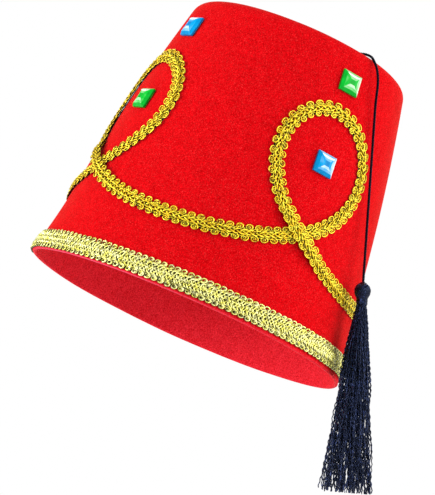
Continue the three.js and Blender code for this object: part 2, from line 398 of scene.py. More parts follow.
@dataclass(frozen=True)
class SilkFinish:
    """Twisted navy silk, near black, with a cool shine along its threads and lighter streaks that are partly
    its own tone and partly painted glints.
    """

    name: str = "silk"
    deep: Colour = screen(1, 1, 5)
    # Lighter navy for streaks along the threads: partly the silk's own tone, partly painted glints.
    light: Colour = screen(58, 72, 120)
    shine: Colour = screen(150, 172, 235)
    sheen_tint: Colour = screen(150, 165, 230)
    strand_scale: float = 900.0
    strand_roughness: float = 0.2
    streak_scale: float = 1100.0
    streak_length: float = 0.05
    streak_share: float = 0.5
    tone_and_glint_limits: Limits = (0.53, 0.65)
    roughness: float = 0.16
    specular: float = 0.55
    sheen: float = 0.03
    sheen_roughness: float = 0.35
    bump_strength: float = 0.4
    bump_depth: float = 0.00015

    def material(self) -> Material:
        """Makes the silk's material.

        Returns:
            The material.
        """
        work = NodeWork.for_material(self.name)
        place = work.place()
        strand = work.noise(place, self.strand_scale)
        drawn_out = {"Vector": place, "Scale": (1.0, 1.0, self.streak_length)}
        streak = work.noise(work.node("ShaderNodeMapping", {}, drawn_out), self.streak_scale)
        # Lighter streaks along the threads: partly the silk's own tone, partly painted glints.
        share = work.spread(work.weigh(self.streak_share, strand, streak), self.tone_and_glint_limits)
        return work.finish(
            {
                "Base Color": work.mix(share, self.deep, self.light),
                "Roughness": self.roughness + strand * self.strand_roughness,
                "Specular IOR Level": self.specular,
                "Specular Tint": self.shine,
                "Sheen Weight": self.sheen,
                "Sheen Roughness": self.sheen_roughness,
                "Sheen Tint": self.sheen_tint,
                "Normal": work.bump(strand, self.bump_strength, self.bump_depth),
            }
        )


@dataclass(frozen=True)
class FloorFinish:
    """A pale floor that fades to white with its distance from the hat."""

    pale: Colour = screen(236, 236, 236)
    roughness: float = 0.6
    grain_scale: float = 60.0
    grain_roughness: float = 0.2
    fade_limits: Limits = (0.5, 1.6)

    def material(self) -> Material:
        """Makes the floor's material.

        Returns:
            The material.
        """
        work = NodeWork.for_material("floor")
        place = work.place()
        away = work.node("ShaderNodeVectorMath", {"operation": "LENGTH"}, {0: place}, "Value")
        grain = work.noise(place, self.grain_scale)
        roughness = self.roughness + grain * self.grain_roughness
        matt = work.principled({"Base Color": self.pale, "Roughness": roughness})
        glow = work.node("ShaderNodeEmission", {}, {"Color": WHITE})
        share = work.spread(away, self.fade_limits)
        work.close(work.node("ShaderNodeMixShader", {}, {0: share, 1: matt, 2: glow}))
        return work.owner


@dataclass(frozen=True)
class FeltWall:
    """The felt wall's shape on the hat's own axes, and where those axes stand in the frame."""

    rim_radius: float = 96.35
    top_radius: float = 67.65
    height: float = 180.0
    bow: float = 3.5
    flare: float = 3.5
    flare_height: float = 45.0
    slant: float = 1.5
    slant_height: float = 60.0
    sag: float = 1.4
    sag_azimuth: float = math.radians(-25.0)
    sag_sharpness: float = 1.5
    lean_to_side: float = math.radians(19.1)
    tip_back: float = math.radians(-4.95)

    @property
    def stance(self) -> Matrix:
        """The place of the hat's own axes in the frame, with millimetres as metres."""
        turn = Matrix.Rotation(self.lean_to_side, 4, "Y") @ Matrix.Rotation(self.tip_back, 4, "X")
        return turn @ Matrix.Scale(MM, 4)

    def radius(self, height: np.ndarray) -> np.ndarray:
        """Gives the outer radius at a height.

        Args:
            height: Heights above the rim.

        Returns:
            The radius at each.
        """
        share = height / self.height
        left = np.clip(1 - height / self.flare_height, 0, None)
        cone = self.rim_radius + (self.top_radius - self.rim_radius) * share
        return cone + self.bow * 4 * share * (1 - share) + self.flare * left**2

    def lean(self, height: np.ndarray) -> np.ndarray:
        """Gives how far the wall leans in from upright at a height.

        Args:
            height: Heights above the rim.

        Returns:
            The angle at each, in radians.
        """
        share = height / self.height
        left = np.clip(1 - height / self.flare_height, 0, None)
        cone = (self.top_radius - self.rim_radius + self.bow * 4 * (1 - 2 * share)) / self.height
        return np.arctan(2 * self.flare * left / self.flare_height - cone)

    def drop(self, points: np.ndarray) -> np.ndarray:
        """Gives how far the rim's slanted cut and the felt's sag in front lower points.

        Args:
            points: One row of x, y and z for each point.

        Returns:
            How far each is lowered.
        """
        away = np.hypot(points[:, 0], points[:, 1])
        towards = points[:, 0] * math.sin(self.sag_azimuth) - points[:, 1] * math.cos(self.sag_azimuth)
        front = np.clip(towards / away, 0, None) ** self.sag_sharpness
        left = np.clip(1 - points[:, 2] / self.slant_height, 0, None)
        return left * (self.slant * points[:, 0] / self.rim_radius + self.sag * front)

    def points(self, azimuth: np.ndarray, height: np.ndarray, proud: np.ndarray) -> np.ndarray:
        """Gives points proud of the wall.

        Args:
            azimuth: Angles from the front towards the right, in radians.
            height: Heights above the rim.
            proud: Distances out from the wall.

        Returns:
            One row of x, y and z for each.
        """
        lean = self.lean(height)
        out = self.radius(height) + proud * np.cos(lean)
        up = height + proud * np.sin(lean)
        points = np.column_stack([out * np.sin(azimuth), -out * np.cos(azimuth), up])
        points[:, 2] -= self.drop(points)
        return points


WALL = FeltWall()


class WallRoute:
    """A closed line round the wall, measured along its length."""

    def __init__(self, line: Line, samples: int = 6000) -> None:
        """Measures the line.

        Args:
            line: Gives azimuth, height and lift for shares of the way round.
            samples: How many steps the line is measured in.
        """
        self.azimuth, self.height, self.lift = line(np.linspace(0, 1, samples + 1))
        around = np.gradient(self.azimuth) * WALL.radius(self.height)
        up = np.gradient(self.height)
        pace = np.hypot(around, up)
        self.around = around / pace
        self.up = up / pace
        self.reach = np.concatenate([[0.0], np.cumsum((pace[1:] + pace[:-1]) / 2)])

    @property
    def length(self) -> float:
        """The length once round."""
        return float(self.reach[-1])

    def points(self, along: np.ndarray, across: np.ndarray, proud: np.ndarray) -> np.ndarray:
        """Gives points beside the line.

        Args:
            along: Distances along it.
            across: Distances to its right, on the wall.
            proud: Distances out from the wall.

        Returns:
            One row of x, y and z for each.
        """
        place = np.mod(along, self.length)
        azimuth, height, lift, around, up = (
            np.interp(place, self.reach, row)
            for row in (self.azimuth, self.height, self.lift, self.around, self.up)
        )
        azimuth = azimuth + up * across / WALL.radius(height)
        return WALL.points(azimuth, height - around * across, proud + lift)


def smooth_step(value: np.ndarray, low: float, high: float) -> np.ndarray:
    """Rises smoothly from 0 to 1 between two limits."""
    share = np.clip((value - low) / (high - low), 0, 1)
    return share * share * (3 - 2 * share)


def piece_of(name: str, mesh: Mesh) -> Object:
    """Puts a mesh into the scene as an object at the origin.

    Args:
        name: The object's name.
        mesh: Its mesh.

    Returns:
        The object.
    """
    piece = bpy.data.objects.new(name, mesh)
    bpy.context.scene.collection.objects.link(piece)
    return piece


def settle(piece: Object, material: Material, slot: Slot, *nodes: str) -> None:
    """Dresses a piece and sets it on the frame.

    Args:
        piece: The piece.
        material: Its material.
        slot: The record's slot that the material belongs to; not used.
        *nodes: The solids that it stands for.
    """
    piece.data.materials.clear()
    piece.data.materials.append(material)
    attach(piece, BODY)
    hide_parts(*nodes)
    log.info("%s: %d faces", piece.name, len(piece.data.polygons))


def spin_line(work: BMesh, line: Sequence[Vector], steps: int, closed: bool = False) -> None:
    """Spins a line once round the upright axis.

    Args:
        work: The bmesh that takes the surface.
        line: The line's points.
        steps: How many steps go round.
        closed: Whether the line's end meets its start.
    """
    verts = [work.verts.new(point) for point in line]
    ahead = [*verts[1:], verts[0]] if closed else verts[1:]
    edges = [work.edges.new(pair) for pair in zip(verts, ahead)]
    bmesh.ops.spin(
        work,
        geom=[*verts, *edges],
        cent=(0, 0, 0),
        axis=(0, 0, 1),
        angle=TURN,
        steps=steps,
        use_merge=True,
    )
    bmesh.ops.recalc_face_normals(work, faces=work.faces)


def mesh_of(name: str, work: BMesh) -> Mesh:
    """Turns a bmesh into a mesh, and frees it.

    Args:
        name: The mesh's name.
        work: The bmesh, which is of no use afterwards.

    Returns:
        The mesh.
    """
    mesh = bpy.data.meshes.new(name)
    work.to_mesh(mesh)
    work.free()
    return mesh


def mark_points(mesh: Mesh, name: str, values: np.ndarray) -> None:
    """Gives each point of a mesh a number that its material reads."""
    marks = mesh.attributes.new(name, "FLOAT", "POINT")
    marks.data.foreach_set("value", values.astype(np.float32))


def mesh_points(mesh: Mesh) -> np.ndarray:
    """Gives a mesh's points, one to a row.

    Args:
        mesh: The mesh.

    Returns:
        One row of x, y and z for each point.
    """
    flat = np.zeros(len(mesh.vertices) * 3)
    mesh.vertices.foreach_get("co", flat)
    return flat.reshape(-1, 3)


@dataclass
class ThreadWork:
    """Round threads that are gathered into one mesh."""

    name: str
    sides: int = 6
    threads: list[tuple[np.ndarray, np.ndarray, bool]] = field(default_factory=list)

    def add(self, points: np.ndarray, radius: float | np.ndarray, closed: bool = False) -> None:
        """Adds one thread.

        Args:
            points: Its middle line, one point to a row.
            radius: Its radius, or one for each point.
            closed: Whether its end meets its start.
        """
        self.threads.append((points, np.broadcast_to(np.asarray(radius, float), (len(points),)), closed))

    def mesh(self) -> Mesh:
        """Makes the mesh of all the threads, with closed ends.

        Returns:
            The mesh, welded and smooth.
        """
        curve = bpy.data.curves.new(self.name, "CURVE")
        curve.dimensions = "3D"
        curve.bevel_depth = 1.0
        curve.bevel_resolution = (self.sides - LEAST_SIDES) // 2
        curve.use_fill_caps = True
        for points, radii, closed in self.threads:
            spline = curve.splines.new("POLY")
            spline.points.add(len(points) - 1)
            rows = np.concatenate([points, np.ones((len(points), 1))], axis=1)
            spline.points.foreach_set("co", rows.ravel())
            spline.points.foreach_set("radius", radii)
            spline.use_cyclic_u = closed
        holder = bpy.data.objects.new(self.name, curve)
        mesh = bpy.data.meshes.new_from_object(holder)
        bpy.data.objects.remove(holder)
        bpy.data.curves.remove(curve)
        weld(mesh)
        mesh.shade_smooth()
        return mesh


def weld(mesh: Mesh, reach: float = 0.001) -> None:
    """Merges a mesh's doubles and turns its faces outwards.

    Args:
        mesh: The mesh, which is changed.
        reach: How near two points lie that become one.
    """
    work = bmesh.new()
    work.from_mesh(mesh)
    bmesh.ops.remove_doubles(work, verts=work.verts, dist=reach)
    bmesh.ops.recalc_face_normals(work, faces=work.faces)
    work.to_mesh(mesh)
    work.free()


@dataclass
class FeltCrown:
    """The felt body: one moulded shell, open at the rim, with a hole in its top for the cord."""

    thickness: float = 2.5
    shoulder_radius: float = 8.7
    hole_radius: float = 2.4
    wall_rows: int = 44
    row_growth: float = 1.5
    shoulder_rows: int = 10
    top_rows: int = 10
    steps: int = 200
    edge_round: float = 0.5
    # How strong the painted highlight on the cut edge is all round, and how much more it is at the front
    # left.
    edge_highlight_least: float = 0.05
    edge_highlight_most: float = 1.5
    hem: float = 2.2
    unevenness: float = 0.3
    unevenness_scale: float = 0.022
    unevenness_seed: int = 3
    finish: FeltFinish = FeltFinish()

    def _profile(self, inset: float) -> list[Vector]:
        """Gives half of the section, from the rim to the cord's hole, set in from the outside.

        Args:
            inset: How far the line lies inside the felt's outer face.

        Returns:
            The line's points, in the plane of x and z.
        """
        lean = float(WALL.lean(np.float64(WALL.height - self.shoulder_radius)))
        foot = WALL.height - self.shoulder_radius * (1 - math.sin(lean))
        middle = float(WALL.radius(np.float64(foot))) - self.shoulder_radius * math.cos(lean)
        arc = self.shoulder_radius - inset
        wall_top = foot - inset * math.sin(lean)
        shares = np.linspace(0, 1, self.wall_rows, endpoint=False) ** self.row_growth
        heights = self.edge_round + (wall_top - self.edge_round) * shares
        radii = WALL.radius(heights) - inset / np.cos(WALL.lean(heights))
        line = [Vector((radius, 0, height)) for radius, height in zip(radii, heights)]
        for angle in np.linspace(lean, TURN / 4, self.shoulder_rows):
            up = WALL.height - self.shoulder_radius + arc * math.sin(angle)
            line.append(Vector((middle + arc * math.cos(angle), 0, up)))
        for radius in np.linspace(middle, self.hole_radius, self.top_rows)[1:]:
            line.append(Vector((radius, 0, WALL.height - inset)))
        return line

    def build(self) -> Object:
        """Spins the section.

        Returns:
            The crown, set into the frame.
        """
        outside = self._profile(0.0)
        inside = self._profile(self.thickness)
        rim = [outside[0].copy(), inside[0].copy()]
        rim[0].x -= self.edge_round
        rim[1].x += self.edge_round
        for point in rim:
            point.z = 0.0
        work = bmesh.new()
        spin_line(work, [*outside, *reversed(inside), rim[1], rim[0]], self.steps, True)
        mesh = mesh_of("felt_crown", work)
        weld(mesh)
        self._mark(mesh)
        self._shape(mesh)
        mesh.transform(WALL.stance)
        mesh.shade_smooth()
        return piece_of("felt_crown", mesh)

    def _shape(self, mesh: Mesh) -> None:
        """Gives the rim its slant and its sag, and lets the felt wander a little.

        Args:
            mesh: The crown on the hat's own axes, which is changed.
        """
        noise.seed_set(self.unevenness_seed)
        for vert, drop in zip(mesh.vertices, WALL.drop(mesh_points(mesh))):
            wander = noise.noise_vector(vert.co * self.unevenness_scale)
            vert.co += wander * self.unevenness - Vector((0, 0, drop))

    def _mark(self, mesh: Mesh) -> None:
        """Marks where the felt takes its brightened inside colours, and its painted highlight along the cut
        edge.

        Args:
            mesh: The crown on the hat's own axes, before it is shaped.
        """
        x, y, height = mesh_points(mesh).T
        radius = np.hypot(x, y)
        depth = WALL.radius(height.clip(0, WALL.height)) - radius
        shoulder = WALL.height - self.shoulder_radius
        half = self.thickness / 2
        # The brightened inside colours go on the inside and on a narrow hem along the rim's outside.
        wall_inside = (depth > half) & (height < shoulder)
        under_top = (depth > self.thickness) & (height > shoulder) & (height < WALL.height - half)
        hem = np.clip(1 - height / self.hem, 0, 1)
        mark_points(mesh, "inside", np.maximum(wall_inside | under_top, hem))
        # Painted highlight along the cut edge: faint all round, strongest at the front left.
        left = (1 - x / radius) / 2
        front = np.clip(-y / radius, 0, 1)
        cut = self.edge_highlight_least + self.edge_highlight_most * left**2 * front
        mark_points(mesh, "cut", np.where(height < self.edge_round / 2, cut, 0.0))

    def dress(self, piece: Object) -> None:
        """Gives the crown its felt."""
        settle(piece, self.finish.material(), Slot.FELT, "crown")


@dataclass(frozen=True)
class RingRow:
    """A thread along each edge of a gimp that curls into rings: its place and its sizes."""

    middle: float
    reach: float
    thread: float
    proud: float
    rise: float
    stagger: float = 0.0
    wobble: float = 0.16
    points: int = 12


@dataclass(frozen=True)
class Plait:
    """A flat plait along a gimp: its place and its sizes."""

    middle: float
    half: float
    strands: int
    period: float
    thread: float
    proud: float
    cross: float
    wobble: float = 0.0
    points: int = 14


class GimpWork:
    """Threads that are laid along a route on the wall."""

    def __init__(self, name: str, route: WallRoute, pitch: float, seed: int = 5) -> None:
        """Divides the route into whole rings of about a pitch, which wobble by seeded draws.

        Args:
            name: The piece's name.
            route: The gimp's middle line.
            pitch: The wanted length of one ring along it.
            seed: The seed of the draws.
        """
        self.name = name
        self.route = route
        self.count = round(route.length / pitch)
        self.pitch = route.length / self.count
        self.threads = ThreadWork(name)
        self.draw = np.random.default_rng(seed)

    def _wobble(self, place: np.ndarray, most: float) -> list[np.ndarray]:
        """Gives how far each ring lies off its place along and across, smoothly from ring to ring.

        Args:
            place: Places along the route, counted in rings.
            most: The furthest that a ring lies off.

        Returns:
            The shifts along and the shifts across.
        """
        rings = np.arange(self.count + 1)
        shifts = self.draw.uniform(-most, most, (2, self.count))
        return [np.interp(place, rings, np.append(row, row[0])) for row in shifts]

    def curl(self, row: RingRow, lag: float) -> None:
        """Lays a thread along each edge that curls into one round ring in each pitch.

        Args:
            row: The threads' place and sizes.
            lag: How far the left edge's rings lie behind the right edge's, as a share of the pitch.
        """
        wave = np.arange(self.count * row.points) * TURN / row.points
        curl = row.reach + self.pitch / 4
        proud = row.proud + row.rise * np.sin(wave)
        for edge, stagger in ((1, row.stagger), (-1, row.stagger + lag)):
            off_along, off_across = self._wobble(wave / TURN, row.wobble)
            along = (wave / TURN + stagger) * self.pitch + curl * np.sin(wave) + off_along
            across = edge * (row.middle - row.reach * np.cos(wave)) + off_across
            self.threads.add(self.route.points(along, across, proud), row.thread, True)

    def plait(self, plait: Plait) -> None:
        """Lays strands that swing from side to side over and under each other.

        Args:
            plait: The plait's place and sizes.
        """
        periods = round(self.route.length / plait.period)
        swing = np.arange(periods * plait.points) * TURN / plait.points
        along = swing / TURN * self.route.length / periods
        for strand in range(plait.strands):
            phase = swing + strand * TURN / plait.strands
            off_along, off_across = self._wobble(along / self.pitch, plait.wobble)
            across = plait.middle + plait.half * np.sin(phase) + off_across
            proud = plait.proud + plait.cross * np.sin(2 * phase)
            self.threads.add(self.route.points(along + off_along, across, proud), plait.thread, True)

    def ground(self, places: Sequence[float], thread: float, proud: float) -> None:
        """Lays straight threads under the others, low enough that the gilt paints them in its shade colour.

        Args:
            places: Where the threads lie across the route.
            thread: The threads' radius.
            proud: How far their middles lie off the wall.
        """
        along = np.arange(self.count) * self.pitch
        for place in places:
            line = self.route.points(along, np.full(self.count, place), np.full(self.count, proud))
            self.threads.add(line, thread, True)

    def piece(self) -> Object:
        """Makes one piece of the threads, marked with how far off the wall and how outward each point is; the
        gilt paints its shade from these marks.

        Returns:
            The piece, set into the frame.
        """
        mesh = self.threads.mesh()
        points = mesh_points(mesh)
        normals = np.zeros(points.size)
        mesh.vertex_normals.foreach_get("vector", normals)
        away = np.hypot(points[:, 0], points[:, 1])
        lean = WALL.lean(points[:, 2])
        level = points[:, :2] / away[:, None] * np.cos(lean)[:, None]
        outward = np.column_stack([level, np.sin(lean)])
        mark_points(mesh, "proud", (away - WALL.radius(points[:, 2])) * np.cos(lean))
        mark_points(mesh, "facing", (normals.reshape(-1, 3) * outward).sum(axis=1))
        mesh.transform(WALL.stance)
        return piece_of(self.name, mesh)


@dataclass(frozen=True)
class Loop:
    """One loop of the scroll gimp: the azimuth of its stones, how far it is off them, and its top."""

    azimuth: float
    shift: float
    top: float


LOOPS = (Loop(29, 0.2, 138), Loop(126, 0, 138), Loop(212, 1, 137), Loop(300, -3.2, 136.1))


@dataclass
class ScrollGimp:
    """The looped gimp on the wall: two rows of coiled rings with a plait between them."""

    dip_height: float = 41.4
    sway: float = 38.4
    narrowing: float = 3.05
    rounding: float = 3.25
    skew: float = 1.1
    gap_ease: Limits = (0.35, 0.75)
    overpass_middle: float = 0.332
    overpass_flat: float = 0.028
    overpass_ramp: float = 0.032
    overpass_lift: float = 2.35
    pitch: float = 5.7
    rows: tuple[RingRow, ...] = (
        RingRow(middle=2.7, reach=1.9, thread=0.42, proud=1.2, rise=0.3),
        RingRow(middle=2.85, reach=0.7, thread=0.34, proud=0.95, rise=0.15, points=10),
    )
    lag: float = 0.35
    plait: Plait = Plait(middle=0.0, half=1.4, strands=3, period=11.4, thread=0.5, proud=1.65, cross=0.5)
    ground_places: tuple[float, ...] = (-2.7, -1.8, -0.9, 0.9, 1.8, 2.7)
    ground_thread: float = 0.6
    ground_proud: float = -0.2
    # The first colour is the gilt's painted shade.
    finish: GimpFinish = GimpFinish(
        "scroll_gilt", screen(44, 22, 0), screen(255, 200, 0), screen(255, 244, 62)
    )

    def _line(self, turn: np.ndarray) -> tuple[np.ndarray, np.ndarray, np.ndarray]:
        """Gives the gimp's azimuth, height and lift for shares of the way round.

        Args:
            turn: Shares of the way round, from 0 to 1.

        Returns:
            The three, one of each for a share.
        """
        count = len(LOOPS)
        place = turn * count
        number = np.floor(place)
        share = place - number
        wave = share * TURN
        middles = np.array([loop.azimuth + loop.shift for loop in LOOPS])
        middles = np.concatenate([middles, middles[:2] + DEGREES_ROUND])
        index = number.astype(int)
        even = DEGREES_ROUND / count
        uneven = middles[index + 1] - middles[index] - even
        steady = middles[index] + even * share + uneven * smooth_step(share, *self.gap_ease)
        azimuth = steady - self.sway * np.sin(wave) - self.narrowing * np.sin(2 * wave)
        tops = np.array([loop.top for loop in LOOPS])[np.round(place).astype(int) % count]
        rise = (tops - self.dip_height) / 2
        even_height = self.dip_height + rise * (1 + np.cos(wave)) - self.rounding * (1 - np.cos(2 * wave))
        height = even_height + self.skew * np.sin(2 * wave)
        away = np.abs(share - self.overpass_middle)
        fall = smooth_step(away, self.overpass_flat, self.overpass_flat + self.overpass_ramp)
        return np.radians(azimuth), height, self.overpass_lift * (1 - fall)

    def build(self) -> list[Object]:
        """Lays the rings and the plait along the route.

        Returns:
            The rings and the plait.
        """
        route = WallRoute(self._line)
        rings = GimpWork("scroll_rings", route, self.pitch)
        for row in self.rows:
            rings.curl(row, self.lag)
        plait = GimpWork("scroll_plait", route, self.pitch)
        plait.plait(self.plait)
        plait.ground(self.ground_places, self.ground_thread, self.ground_proud)
        return [rings.piece(), plait.piece()]

    def dress(self, pieces: list[Object]) -> None:
        """Gives the gimp its gilt.

        Args:
            pieces: The rings and the plait.
        """
        gilt = self.finish.material()
        for piece in pieces:
            settle(piece, gilt, Slot.GILT, "scroll_braid")


@dataclass
class RimGimp:
    """The wide gimp round the rim: ringed edges and two plaits side by side between them."""

    middle_height: float = 7.6
    slant: float = 1.35
    back_rise: float = 1.2
    back_ease: Limits = (-0.2, 0.4)
    pitch: float = 4.1
    rows: tuple[RingRow, ...] = (
        RingRow(middle=4.55, reach=1.5, thread=0.48, proud=1.05, rise=0.35, wobble=0.3),
        RingRow(middle=4.4, reach=0.6, thread=0.4, proud=0.9, rise=0.3, stagger=0.1, wobble=0.3, points=8),
    )
    lag: float = 0.5
    plaits: tuple[Plait, ...] = (
        Plait(middle=1.35, half=1.8, strands=3, period=6.1, thread=0.52, proud=1.45, cross=0.5, wobble=0.45),
        Plait(middle=-1.35, half=1.8, strands=3, period=6.7, thread=0.52, proud=1.45, cross=0.5, wobble=0.45),
    )
    ground_places: tuple[float, ...] = (-3.9, -2.9, -1.9, -0.9, 0.0, 0.9, 1.9, 2.9, 3.9, 4.9)
    ground_thread: float = 0.6
    ground_proud: float = -0.2
    # The first colour is the gilt's painted shade.
    finish: GimpFinish = GimpFinish(
        "rim_gilt", screen(66, 56, 0), screen(255, 248, 88), screen(255, 255, 190)
    )

    def _line(self, turn: np.ndarray) -> tuple[np.ndarray, np.ndarray, np.ndarray]:
        """Gives the band's azimuth, height and lift for shares of the way round.

        Args:
            turn: Shares of the way round, from 0 to 1.

        Returns:
            The three, one of each for a share.
        """
        azimuth = turn * TURN
        back = self.back_rise * smooth_step(-np.cos(azimuth), *self.back_ease)
        return azimuth, self.middle_height + self.slant * np.sin(azimuth) + back, np.zeros_like(turn)

    def build(self) -> Object:
        """Lays the rings and the plaits round the rim.

        Returns:
            The band.
        """
        work = GimpWork("rim_gimp", WallRoute(self._line), self.pitch)
        for row in self.rows:
            work.curl(row, self.lag)
        for plait in self.plaits:
            work.plait(plait)
        work.ground(self.ground_places, self.ground_thread, self.ground_proud)
        return work.piece()

    def dress(self, piece: Object) -> None:
        """Gives the band its pale gilt."""
        settle(piece, self.finish.material(), Slot.PALE_GILT, "rim_band")


@dataclass(frozen=True)
class Facet:
    """One ring of a stone's cut: half its width, its height, and how far its sides bow in."""

    half: float
    height: float
    bow: float


class Paste(Enum):
    """The two kinds of paste."""

    BLUE = PasteFinish("blue_paste", screen(0, 58, 136), screen(0, 160, 224), screen(236, 250, 255))
    GREEN = PasteFinish("green_paste", screen(0, 92, 10), screen(10, 192, 54), screen(236, 255, 230))

    @property
    def slot(self) -> Slot:
        """The record's slot of this paste."""
        return Slot.BLUE if self is Paste.BLUE else Slot.GREEN


@dataclass
class PasteStones:
    """The square cut stones, one in each loop and one above it."""

    loop_height: float = 105.5
    upper_height: float = 157.5
    seat: float = 0.35
    rings: tuple[Facet, ...] = (
        Facet(6.5, 0.0, 0.0),
        Facet(6.5, 1.2, 0.0),
        Facet(5.0, 2.8, 0.06),
        Facet(3.6, 3.4, 0.12),
        Facet(1.6, 3.6, 0.0),
    )
    side_points: int = 6
    sides: int = 4
    # The painted reflections: one share of light for each ring's facets on each side, then the table's.
    flashes: tuple[tuple[float, ...], ...] = (
        (0.3, 0.5, 0.15, 0.2),
        (0.6, 0.9, 0.35, 0.4),
        (1.0, 0.7, 0.6, 0.5),
        (0.6, 0.4, 0.78, 0.45),
    )
    table_flash: float = 0.3

    def _ring(self, work: BMesh, facet: Facet) -> list[BMEdge]:
        """Adds one square ring of the cut, as a circle that is pushed out to its corners.

        Args:
            work: The bmesh of the stone.
            facet: The ring's sizes.

        Returns:
            The ring's edges, in order.
        """
        count = self.sides * self.side_points
        turn = Matrix.Translation((0, 0, facet.height)) @ Matrix.Rotation(TURN / self.sides / 2, 4, "Z")
        made = bmesh.ops.create_circle(work, segments=count, radius=1.0, matrix=turn)
        for vert in made["verts"]:
            longest = max(abs(vert.co.x), abs(vert.co.y))
            shortest = min(abs(vert.co.x), abs(vert.co.y)) / longest
            scale = facet.half / longest * (1 - facet.bow * (1 - shortest**2))
            vert.co.x *= scale
            vert.co.y *= scale
        return list(dict.fromkeys(edge for vert in made["verts"] for edge in vert.link_edges))

    def _cut(self, handed: int) -> Mesh:
        """Cuts one stone on its flat back, with its painted flashes to the right (1) or to the left (-1).

        Args:
            handed: The side of the flashes.

        Returns:
            The stone's mesh, lying flat at the origin.
        """
        work = bmesh.new()
        flash = work.faces.layers.float.new("flash")
        rings = [self._ring(work, facet) for facet in self.rings]
        for row, (lower, upper) in enumerate(zip(rings, rings[1:])):
            made = bmesh.ops.bridge_loops(work, edges=[*lower, *upper])
            for face in made["faces"]:
                middle = face.calc_center_median()
                quarter = handed * math.atan2(middle.x, middle.y) / TURN * self.sides
                face[flash] = self.flashes[row][round(quarter) % self.sides]
        for ring in (rings[0], rings[-1]):
            made = bmesh.ops.edgeloop_fill(work, edges=ring)
            for face in made["faces"]:
                face[flash] = self.table_flash
        bmesh.ops.recalc_face_normals(work, faces=work.faces)
        return mesh_of("stone", work)

    def _stand(self, azimuth: float, height: float) -> Matrix:
        """Gives a stone's place on the wall.

        Args:
            azimuth: The angle from the front, in radians.
            height: The height above the rim.

        Returns:
            The place of the stone's back in the frame, with millimetres as metres.
        """
        lean = float(WALL.lean(np.float64(height)))
        spot = WALL.points(np.zeros(1), np.array([height]), np.array([self.seat]))[0]
        on_front = Matrix.Translation(spot) @ Matrix.Rotation(TURN / 4 - lean, 4, "X")
        return WALL.stance @ Matrix.Rotation(azimuth, 4, "Z") @ on_front

    def build(self) -> list[tuple[Object, Paste, str]]:
        """Cuts the stones and stands them on the wall, with the colours in turn.

        Returns:
            Each stone with its paste and the solid that it stands for.
        """
        made = []
        for number, loop in enumerate(LOOPS):
            kinds = (Paste.BLUE, Paste.GREEN) if number % 2 == 0 else (Paste.GREEN, Paste.BLUE)
            rows = (("loop", self.loop_height, kinds[0]), ("upper", self.upper_height, kinds[1]))
            # The painted flashes go to the right on stones on the hat's right half, and to the left on the
            # left half.
            handed = 1 if math.sin(math.radians(loop.azimuth)) > 0 else -1
            for row, height, kind in rows:
                mesh = self._cut(handed)
                mesh.transform(self._stand(math.radians(loop.azimuth), height))
                piece = piece_of(f"stone_{row}_{number + 1}", mesh)
                made.append((piece, kind, f"gem_{row}_{number + 1}"))
        return made

    def dress(self, stones: list[tuple[Object, Paste, str]]) -> None:
        """Gives each stone its paste.

        Args:
            stones: Each stone with its paste and the solid that it stands for.
        """
        materials = {kind: kind.value.material() for kind in Paste}
        for piece, kind, node in stones:
            settle(piece, materials[kind], kind.slot, node)


def disc_spots(count: int) -> np.ndarray:
    """Spreads places evenly over a disc of radius 1, one to a row.

    Args:
        count: How many places there are.

    Returns:
        One row of x and y for each.
    """
    number = np.arange(count)
    share = np.sqrt((number + 0.5) / count)
    angle = number * GOLDEN_ANGLE
    return np.column_stack([share * np.cos(angle), share * np.sin(angle)])


def carried_frames(points: list[Vector]) -> list[tuple[Vector, Vector]]:
    """Gives two directions across a line at each of its points, carried along it without twist.

    Args:
        points: The line's points.

    Returns:
        The two directions at each point.
    """
    frames = []
    across = Vector((0, 1, 0))
    for index, point in enumerate(points):
        ahead = points[min(index + 1, len(points) - 1)] - points[max(index - 1, 0)]
        ahead.normalize()
        across = (across - ahead * across.dot(ahead)).normalized()
        frames.append((across.copy(), ahead.cross(across)))
    return frames


